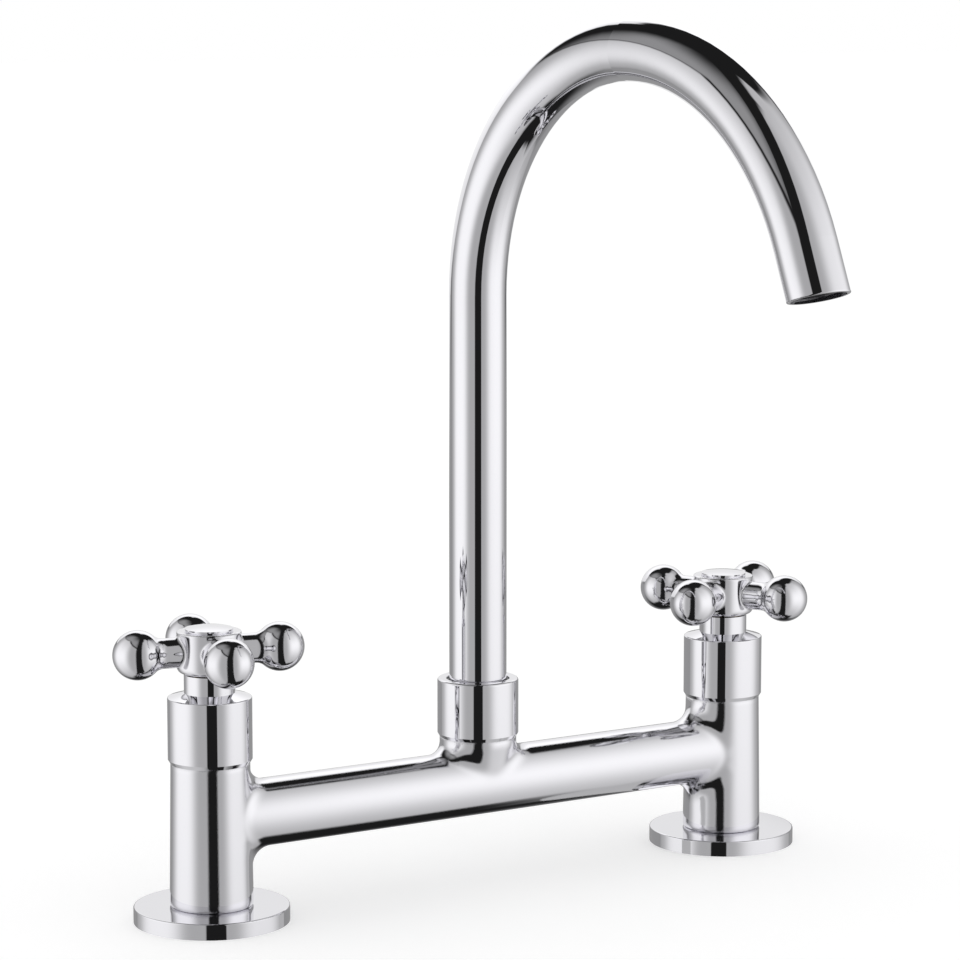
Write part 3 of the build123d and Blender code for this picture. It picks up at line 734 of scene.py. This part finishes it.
@dataclass
class DeckFixing(LegAssembly):
    """What holds one leg on the deck: flange, gasket, washers, back nut and threaded inlet tail."""

    title: str = "deck fixing"
    nodes: tuple[str, ...] = (
        "base_flange",
        "flange_gasket",
        "inlet_tail",
        "tail_o_ring",
        "backing_washer",
        "clamp_washer",
        "back_nut",
    )
    thread: PipeThread = field(default_factory=PipeThread)
    supply_turns: int = 7
    nut_turns: int = 7
    waterway_radius: float = 5.5 * MM
    relief_depth: float = 0.18 * MM
    plain_radius: float = 10.3 * MM
    leg_thread_radius: float = 10.48 * MM
    spigot_radius: float = 8.2 * MM
    groove_floor: float = 6.7 * MM
    end_chamfer: float = 0.5 * MM
    edge_bevel: float = 0.12 * MM
    segments: int = 112
    supply_top: float = -45.0 * MM
    nut_thread_foot: float = -43.4 * MM
    plain_foot: float = -29.5 * MM
    plain_top: float = 1.0 * MM
    spigot_foot: float = 17.0 * MM
    groove_foot: float = 18.25 * MM
    groove_top: float = 20.25 * MM
    pattern: str = "threaded_inlet_tail"

    def build(self) -> None:
        """Models the threaded tail once, and sets a copy into the leg in place of the plain one."""
        if self.pattern not in bpy.data.objects:
            self._pattern_tail()
        low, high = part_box(f"{self.side.value}_inlet_tail")
        name = self.sided("threaded_tail")
        deselect_all()
        tail = bpy.data.objects[self.pattern].copy()
        tail.data = tail.data.copy()
        tail.name = name
        bpy.context.scene.collection.objects.link(tail)
        tail.select_set(True)
        bpy.context.view_layer.objects.active = tail
        bpy.ops.transform.translate(value=((low.x + high.x) / 2, (low.y + high.y) / 2, low.z))
        bpy.ops.object.transform_apply(location=True, rotation=True, scale=True)
        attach(tail, Body.MIXER.value)
        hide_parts(f"{self.side.value}_inlet_tail")
        self.modelled[name] = Slot.BRASS
        if self.side is Side.RIGHT:
            bpy.data.objects.remove(bpy.data.objects[self.pattern])

    def _pattern_tail(self) -> None:
        """Turns the core and winds both threads on it, with the tail's lower end at the origin."""
        low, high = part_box("left_inlet_tail")
        foot = low.z
        root = self.thread.root_radius
        circles = (
            (self.waterway_radius, foot),
            (root - self.end_chamfer, foot),
            (root, foot + self.end_chamfer),
            (root, self.supply_top),
            (root - self.relief_depth, self.supply_top + self.relief_depth),
            (root - self.relief_depth, self.nut_thread_foot - self.relief_depth),
            (root, self.nut_thread_foot),
            (root, self.plain_foot),
            (self.plain_radius, self.plain_foot),
            (self.plain_radius, self.plain_top),
            (self.leg_thread_radius, self.plain_top),
            (self.leg_thread_radius, self.spigot_foot),
            (self.spigot_radius, self.spigot_foot),
            (self.spigot_radius, self.groove_foot),
            (self.groove_floor, self.groove_foot),
            (self.groove_floor, self.groove_top),
            (self.spigot_radius, self.groove_top),
            (self.spigot_radius, high.z),
            (self.waterway_radius, high.z),
        )
        outline = tuple((radius, height - foot) for radius, height in circles)
        core = turned_piece(self.pattern, outline, self.segments, self.edge_bevel)
        half = self.thread.pitch * self.thread.root_share / 2
        supply = self.thread.ridge("supply_thread", self.end_chamfer + half, self.supply_turns)
        nut = self.thread.ridge("nut_thread", self.nut_thread_foot - foot + half, self.nut_turns)
        deselect_all()
        for part in (supply, nut, core):
            part.select_set(True)
        bpy.context.view_layer.objects.active = core
        bpy.ops.object.join()
        bpy.ops.object.shade_smooth_by_angle(angle=SMOOTH_EDGE)


# ---------------------------------------------------------------- camera and studio
@dataclass(frozen=True)
class ProductCamera:
    """The photograph's camera: a long lens, a little above the faucet and to its left."""

    place: tuple[float, float, float] = (-620.0 * MM, -980.7 * MM, 298.0 * MM)
    yaw: float = 32.336
    pitch: float = 7.956
    focal_pixels: float = 3518.3
    image_pixels: float = 960.0
    sensor: float = 36.0

    def ahead(self) -> Vector:
        """The level direction that the camera looks in."""
        return Vector((math.sin(math.radians(self.yaw)), math.cos(math.radians(self.yaw)), 0.0))

    def rightwards(self) -> Vector:
        """The direction that is to the right in the picture."""
        return Vector((math.cos(math.radians(self.yaw)), -math.sin(math.radians(self.yaw)), 0.0))

    def build(self) -> bpy.types.Object:
        """Adds the camera and makes it the scene's.

        Returns:
            The camera's object.
        """
        turn = (math.radians(QUARTER_TURN - self.pitch), 0.0, -math.radians(self.yaw))
        bpy.ops.object.camera_add(location=self.place, rotation=turn)
        camera = bpy.context.object
        camera.name = "product_camera"
        camera.data.sensor_width = self.sensor
        camera.data.lens = self.focal_pixels / self.image_pixels * self.sensor
        bpy.context.scene.camera = camera
        return camera


@dataclass(frozen=True)
class SoftBox:
    """One lit cloth of the tent, in degrees of turn and rise as seen from the tent's middle.

    The cloth glows evenly at its own level, and a lamp behind it adds a brighter patch. A slope moves
    its foot or top by so many degrees for each degree away from its middle.
    """

    left: float
    right: float
    foot: float
    top: float
    cloth: float
    lamp: float = 0.0
    lamp_turn: float = 0.0
    lamp_rise: float = 0.0
    lamp_width: float = 28.0
    lamp_height: float = 45.0
    left_blur: float = 3.0
    right_blur: float = 3.0
    foot_blur: float = 6.0
    top_blur: float = 6.0
    foot_slope: float = 0.0
    top_slope: float = 0.0

    @classmethod
    def group(cls) -> bpy.types.NodeTree:
        """Builds the shader group for a lit cloth, or finds it if it is there.

        Returns:
            A group with an input for each size and the output Light.
        """
        name = "lit_cloth"
        if name in bpy.data.node_groups:
            return bpy.data.node_groups[name]
        tree = bpy.data.node_groups.new(name, "ShaderNodeTree")
        for label in ("turn", "rise", *(size.name for size in fields(cls))):
            tree.interface.new_socket(label, in_out="INPUT", socket_type="NodeSocketFloat")
        tree.interface.new_socket("Light", in_out="OUTPUT", socket_type="NodeSocketFloat")
        ins = new_node(tree, "NodeGroupInput", (-1800, 0)).outputs
        outs = new_node(tree, "NodeGroupOutput", (1200, 0))
        both = math_node(tree, "ADD", (-1500, 500), ins["left"], ins["right"])
        middle = math_node(tree, "MULTIPLY", (-1300, 500), both, 0.5)
        off = math_node(tree, "SUBTRACT", (-1100, 500), ins["turn"], middle)
        aside = math_node(tree, "ABSOLUTE", (-900, 500), off)
        foot = math_node(tree, "MULTIPLY_ADD", (-700, 600), aside, ins["foot_slope"], ins["foot"])
        top = math_node(tree, "MULTIPLY_ADD", (-700, 400), aside, ins["top_slope"], ins["top"])
        past_left = smooth_step(tree, (-500, 900), ins["turn"], ins["left"], ins["left_blur"])
        past_right = smooth_step(tree, (-500, 600), ins["turn"], ins["right"], ins["right_blur"])
        past_foot = smooth_step(tree, (-500, 300), ins["rise"], foot, ins["foot_blur"])
        past_top = smooth_step(tree, (-500, 0), ins["rise"], top, ins["top_blur"])
        across = math_node(tree, "SUBTRACT", (0, 800), past_left, past_right, clamp=True)
        upwards = math_node(tree, "SUBTRACT", (0, 200), past_foot, past_top, clamp=True)
        sheet = math_node(tree, "MULTIPLY", (200, 500), across, upwards)
        patch = cls._patch(tree, ins)
        level = math_node(tree, "MULTIPLY_ADD", (600, 0), patch, ins["lamp"], ins["cloth"])
        light = math_node(tree, "MULTIPLY", (900, 0), level, sheet)
        tree.links.new(light, outs.inputs["Light"])
        return tree

    @staticmethod
    def _patch(tree: bpy.types.NodeTree, ins: bpy.types.NodeOutputs) -> bpy.types.NodeSocket:
        """Adds the lamp's patch, which fades like a bell and keeps level longer sideways.

        Args:
            tree: the group's tree.
            ins: the group's inputs.

        Returns:
            The socket with the patch, from 0 to 1.
        """
        aside = math_node(tree, "SUBTRACT", (-1500, -300), ins["turn"], ins["lamp_turn"])
        above = math_node(tree, "SUBTRACT", (-1500, -500), ins["rise"], ins["lamp_rise"])
        aside_share = math_node(tree, "DIVIDE", (-1300, -300), aside, ins["lamp_width"])
        above_share = math_node(tree, "DIVIDE", (-1300, -500), above, ins["lamp_height"])
        aside_square = math_node(tree, "MULTIPLY", (-1100, -300), aside_share, aside_share)
        aside_fourth = math_node(tree, "MULTIPLY", (-900, -300), aside_square, aside_square)
        square = math_node(tree, "MULTIPLY_ADD", (-800, -500), above_share, above_share, aside_fourth)
        fade = math_node(tree, "MULTIPLY", (-700, -400), square, -1.0)
        return math_node(tree, "EXPONENT", (-500, -400), fade)

    def light(
        self,
        tree: bpy.types.NodeTree,
        place: Place,
        turn: bpy.types.NodeSocket,
        rise: bpy.types.NodeSocket,
    ) -> bpy.types.NodeSocket:
        """Places the group in a material with this cloth's sizes.

        Args:
            tree: the material's tree.
            place: where the group stands in the editor.
            turn: degrees round the tent from the lens, positive to the right of the picture.
            rise: degrees above the level of the tent's middle.

        Returns:
            The socket with the cloth's light.
        """
        node = new_node(tree, "ShaderNodeGroup", place)
        node.node_tree = self.group()
        tree.links.new(turn, node.inputs["turn"])
        tree.links.new(rise, node.inputs["rise"])
        for size in fields(self):
            node.inputs[size.name].default_value = getattr(self, size.name)
        return node.outputs["Light"]


@dataclass(frozen=True)
class LightTent:
    """Photographic light tent that polished surfaces mirror.

    A lit cloth stands on each side, and the right one rises to a peak and goes on towards the back.
    A white backdrop hangs behind and sweeps forward at its foot, a pale roof covers the left side,
    and the lens looks in through a dark door. The rest is unlit.
    """

    camera: ProductCamera
    radius: float = 0.6
    middle_height: float = 0.1
    segments: int = 128
    rings: int = 64
    unlit: float = 0.013
    left_cloth: SoftBox = SoftBox(
        left=-130.0, right=-11.0, foot=-76.0, top=52.5, foot_slope=0.2, top_slope=-0.32,
        left_blur=12.0, right_blur=4.0, foot_blur=6.0, top_blur=2.5,
        cloth=0.44, lamp=0.67, lamp_turn=-76.0, lamp_rise=-2.0, lamp_width=32.0, lamp_height=46.0,
    )
    right_cloth: SoftBox = SoftBox(
        left=12.0, right=100.0, foot=-76.0, top=69.5, foot_slope=0.25, top_slope=-0.05,
        left_blur=4.0, right_blur=3.0, foot_blur=5.0, top_blur=3.0,
        cloth=0.44, lamp=0.68, lamp_turn=76.0, lamp_rise=4.0, lamp_width=38.0, lamp_height=46.0,
    )
    right_peak: SoftBox = replace(
        right_cloth,
        left=56.0, right=99.0, foot=50.0, top=75.5, foot_slope=0.0, top_slope=-0.1,
        left_blur=6.0, top_blur=2.5,
    )
    right_back_cloth: SoftBox = replace(
        right_cloth,
        left=58.0, right=136.0, foot=-58.0, top=65.0, foot_slope=0.0, top_slope=-0.55,
        left_blur=3.0, right_blur=7.0, top_blur=4.0,
    )
    roof_cloth: SoftBox = SoftBox(
        left=-118.0, right=-10.0, foot=56.0, top=74.0, foot_slope=-0.32,
        left_blur=18.0, right_blur=18.0, foot_blur=2.0, top_blur=16.0,
        cloth=0.3,
    )
    backdrop: SoftBox = SoftBox(
        left=138.0, right=236.0, foot=-7.0, top=57.0, foot_slope=0.35, top_slope=-0.6,
        left_blur=6.0, right_blur=5.0, foot_blur=3.0, top_blur=3.0,
        cloth=0.86, lamp=0.36, lamp_turn=184.0, lamp_rise=34.0, lamp_width=50.0, lamp_height=15.0,
    )
    sweep: SoftBox = SoftBox(
        left=128.0, right=240.0, foot=-38.0, top=4.0,
        left_blur=8.0, right_blur=10.0, foot_blur=18.0, top_blur=5.0,
        cloth=0.32,
    )
    door_left: float = -0.118
    door_right: float = 0.136
    door_blur: float = 0.008
    door_lean: float = 0.3
    door_lean_from: float = 0.25

    def build(self) -> bpy.types.Object:
        """Adds the tent, which only mirrored rays see.

        Returns:
            The tent's object.
        """
        deselect_all()
        bpy.ops.mesh.primitive_uv_sphere_add(
            segments=self.segments,
            ring_count=self.rings,
            radius=self.radius,
            location=(0.0, 0.0, self.middle_height),
        )
        tent = bpy.context.object
        tent.name = "light_tent"
        bpy.ops.object.transform_apply(location=True, rotation=True, scale=True)
        bpy.ops.object.mode_set(mode="EDIT")
        bpy.ops.mesh.select_all(action="SELECT")
        bpy.ops.mesh.flip_normals()
        bpy.ops.object.mode_set(mode="OBJECT")
        bpy.ops.object.shade_smooth()
        show_to_mirrors_only(tent)
        tent.data.materials.append(self._cloths())
        return tent

    def _cloths(self) -> bpy.types.Material:
        """Builds the tent's material: every lit cloth, with the door left dark.

        Returns:
            The material.
        """
        made = bare_material("tent_cloths")
        tree = made.node_tree
        place = new_node(tree, "ShaderNodeTexCoord", (-2600, 0))
        middle = Vector((0.0, 0.0, self.middle_height))
        aside = self._offset(tree, (-2300, 300), place, middle, self.camera.rightwards())
        towards = self._offset(tree, (-2300, 0), place, middle, -self.camera.ahead())
        above = self._offset(tree, (-2300, -300), place, middle, UPWARDS)
        angle = math_node(tree, "ARCTAN2", (-2000, 300), aside, towards)
        turn = math_node(tree, "DEGREES", (-1800, 300), angle)
        share = math_node(tree, "DIVIDE", (-2000, -300), above, self.radius)
        slope = math_node(tree, "ARCSINE", (-1800, -300), share)
        rise = math_node(tree, "DEGREES", (-1600, -300), slope)
        behind = math_node(tree, "LESS_THAN", (-1600, 500), turn, 0.0)
        whole_turn = math_node(tree, "MULTIPLY_ADD", (-1400, 500), behind, FULL_TURN, turn)
        cloths = (
            (self.right_cloth, turn),
            (self.right_peak, turn),
            (self.right_back_cloth, turn),
            (self.roof_cloth, turn),
            (self.backdrop, whole_turn),
            (self.sweep, whole_turn),
        )
        light = self.left_cloth.light(tree, (-1000, 900), turn, rise)
        for number, (cloth, cloth_turn) in enumerate(cloths):
            more = cloth.light(tree, (-1000, 500 - 400 * number), cloth_turn, rise)
            light = math_node(tree, "MAXIMUM", (-600, 500 - 300 * number), light, more)
        shut = self._door(tree, aside, towards, above)
        seen = math_node(tree, "MULTIPLY", (-200, 0), light, shut)
        level = math_node(tree, "ADD", (0, 0), seen, self.unlit)
        glow = new_node(tree, "ShaderNodeEmission", (200, 0))
        tree.links.new(level, glow.inputs["Color"])
        out = new_node(tree, "ShaderNodeOutputMaterial", (400, 0))
        tree.links.new(glow.outputs["Emission"], out.inputs["Surface"])
        return made

    @staticmethod
    def _offset(
        tree: bpy.types.NodeTree,
        place: Place,
        coordinates: bpy.types.Node,
        middle: Vector,
        along: Vector,
    ) -> bpy.types.NodeSocket:
        """Measures how far a spot lies from the tent's middle in one direction.

        Args:
            tree: the material's tree.
            place: where the nodes stand in the editor.
            coordinates: the Texture Coordinate node.
            middle: the tent's middle.
            along: the direction, of length one.

        Returns:
            The socket with the distance.
        """
        x, y = place
        from_middle = new_node(tree, "ShaderNodeVectorMath", (x, y), operation="SUBTRACT")
        from_middle.inputs[1].default_value = middle
        tree.links.new(coordinates.outputs["Object"], from_middle.inputs[0])
        dot = new_node(tree, "ShaderNodeVectorMath", (x + 150, y), operation="DOT_PRODUCT")
        dot.inputs[1].default_value = along
        tree.links.new(from_middle.outputs["Vector"], dot.inputs[0])
        return dot.outputs["Value"]

    def _door(
        self,
        tree: bpy.types.NodeTree,
        aside: bpy.types.NodeSocket,
        towards: bpy.types.NodeSocket,
        above: bpy.types.NodeSocket,
    ) -> bpy.types.NodeSocket:
        """Leaves the door dark: a band of even width that leans a little where it rises.

        Args:
            tree: the material's tree.
            aside: metres to the right of the tent's middle.
            towards: metres from the middle towards the lens.
            above: metres above the middle.

        Returns:
            The socket that is 0 in the door and 1 beside it.
        """
        risen = math_node(tree, "SUBTRACT", (-1400, -900), above, self.door_lean_from)
        raised = math_node(tree, "MAXIMUM", (-1200, -900), risen, 0.0)
        left = math_node(tree, "MULTIPLY_ADD", (-1000, -900), raised, self.door_lean, self.door_left)
        past_left = smooth_step(tree, (-800, -900), aside, left, self.door_blur)
        past_right = smooth_step(tree, (-800, -1200), aside, self.door_right, self.door_blur)
        band = math_node(tree, "SUBTRACT", (-400, -900), past_left, past_right)
        front = math_node(tree, "GREATER_THAN", (-400, -1200), towards, 0.0)
        door = math_node(tree, "MULTIPLY", (-200, -1000), band, front, clamp=True)
        return math_node(tree, "SUBTRACT", (0, -1000), 1.0, door)


def show_to_mirrors_only(thing: bpy.types.Object) -> None:
    """Hides a piece of the studio from all but mirrored rays.

    Args:
        thing: the piece of the studio.
    """
    thing.visible_camera = False
    thing.visible_diffuse = False
    thing.visible_transmission = False
    thing.visible_volume_scatter = False
    thing.visible_shadow = False


def seen_directly(tree: bpy.types.NodeTree, place: Place) -> bpy.types.NodeSocket:
    """Adds the test for rays that show a background: from the lens, mirrored or through glass.

    Args:
        tree: the tree that gets the nodes.
        place: where they stand in the editor.

    Returns:
        The socket that is 1 for such rays and 0 for the rest.
    """
    x, y = place
    paths = new_node(tree, "ShaderNodeLightPath", (x, y)).outputs
    mirrored = math_node(tree, "ADD", (x + 200, y), paths["Is Glossy Ray"], paths["Is Transmission Ray"])
    return math_node(tree, "ADD", (x + 400, y), paths["Is Camera Ray"], mirrored, clamp=True)


@dataclass(frozen=True)
class WhiteRoom:
    """What lies round the tent: even light, a white background and the white deck."""

    room_light: float = 0.8
    deck_size: float = 24.0
    deck_colour: float = 0.9
    deck_lift: float = 0.31
    shroud_radius: float = 26.0 * MM
    shroud_top: float = -1.0 * MM
    shroud_foot: float = -62.0 * MM
    shroud_segments: int = 96
    shroud_light: float = 0.5

    def build(self) -> list[bpy.types.Object]:
        """Builds the world, the deck and the shrouds under it.

        Returns:
            The deck's and the shrouds' objects.
        """
        self.world()
        return [self.deck(), *(self.shroud(side) for side in Side)]

    def world(self) -> None:
        """Lights everything evenly and shows white behind the faucet."""
        world = bpy.data.worlds.new("white_room")
        bpy.context.scene.world = world
        world.use_nodes = True
        tree = world.node_tree
        tree.nodes.clear()
        shown = seen_directly(tree, (-800, 0))
        lift = math_node(tree, "MULTIPLY", (-200, 0), shown, 1.0 - self.room_light)
        level = math_node(tree, "ADD", (0, 0), lift, self.room_light)
        glow = white_glow(tree, "ShaderNodeBackground", (200, 0), level)
        out = new_node(tree, "ShaderNodeOutputWorld", (400, 0))
        tree.links.new(glow, out.inputs["Surface"])

    def deck(self) -> bpy.types.Object:
        """Adds the white deck that the flanges stand on, clear from below and not mirrored.

        Returns:
            The deck's object.
        """
        deselect_all()
        bpy.ops.mesh.primitive_plane_add(size=self.deck_size, location=(0.0, 0.0, 0.0))
        deck = bpy.context.object
        deck.name = "white_deck"
        deck.visible_glossy = False
        surface = bare_material("white_deck_surface")
        tree = surface.node_tree
        paint = new_node(tree, "ShaderNodeBsdfDiffuse", (-400, 100))
        paint.inputs["Color"].default_value = (*(self.deck_colour,) * 3, 1.0)
        shown = seen_directly(tree, (-1200, -200))
        lift = math_node(tree, "MULTIPLY", (-550, -200), shown, self.deck_lift)
        glow = white_glow(tree, "ShaderNodeEmission", (-400, -100), lift)
        lit = new_node(tree, "ShaderNodeAddShader", (-200, 0))
        tree.links.new(paint.outputs["BSDF"], lit.inputs[0])
        tree.links.new(glow, lit.inputs[1])
        clear_from_behind(tree, lit.outputs["Shader"])
        deck.data.materials.append(surface)
        return deck

    def shroud(self, side: Side) -> bpy.types.Object:
        """Adds a can round one tail that glows and is seen only in mirrored rays: a painted reflection in
        the chrome above, in place of what the deck hides.

        Args:
            side: the leg that it stands under.

        Returns:
            The shroud's object.
        """
        low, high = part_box(f"{side.value}_inlet_tail")
        height = self.shroud_top - self.shroud_foot
        deselect_all()
        bpy.ops.mesh.primitive_cylinder_add(
            vertices=self.shroud_segments,
            radius=self.shroud_radius,
            depth=height,
            location=((low.x + high.x) / 2, (low.y + high.y) / 2, self.shroud_foot + height / 2),
        )
        can = bpy.context.object
        can.name = f"{side.value}_tail_shroud"
        bpy.ops.object.transform_apply(location=True, rotation=True, scale=True)
        show_to_mirrors_only(can)
        # The can's white glow is a painted reflection for the chrome above it, not a lamp.
        pale = bare_material(f"{side.value}_shroud_cloth")
        tree = pale.node_tree
        glow = white_glow(tree, "ShaderNodeEmission", (-300, 0), self.shroud_light)
        clear_from_behind(tree, glow)
        can.data.materials.append(pale)
        return can


def clear_from_behind(tree: bpy.types.NodeTree, shader: bpy.types.NodeSocket) -> None:
    """Finishes a material that is clear where it is seen from its back.

    Args:
        tree: the material's tree.
        shader: the shader of its front.
    """
    side = new_node(tree, "ShaderNodeNewGeometry", (-400, 400))
    clear = new_node(tree, "ShaderNodeBsdfTransparent", (-200, 200))
    pick = new_node(tree, "ShaderNodeMixShader", (0, 100))
    tree.links.new(side.outputs["Backfacing"], pick.inputs["Fac"])
    tree.links.new(shader, pick.inputs[1])
    tree.links.new(clear.outputs["BSDF"], pick.inputs[2])
    out = new_node(tree, "ShaderNodeOutputMaterial", (200, 100))
    tree.links.new(pick.outputs["Shader"], out.inputs["Surface"])


def main() -> None:
    bpy.context.scene.view_settings.view_transform = "Standard"
    deselect_all()
    camera = ProductCamera()
    for thing in (camera.build(), *WhiteRoom().build(), LightTent(camera).build()):
        log.info("studio: %s", thing.name)
    assemblies = [Bridge(), SwanNeck()]
    for side in Side:
        assemblies += [DeckFixing(side=side), Valve(side=side), CrossHandle(side=side)]
    for assembly in assemblies:
        assembly.build()
        for name in assembly.dress():
            log.info("%s: %s", assembly.title, name)


if __name__ == "__main__":
    main()
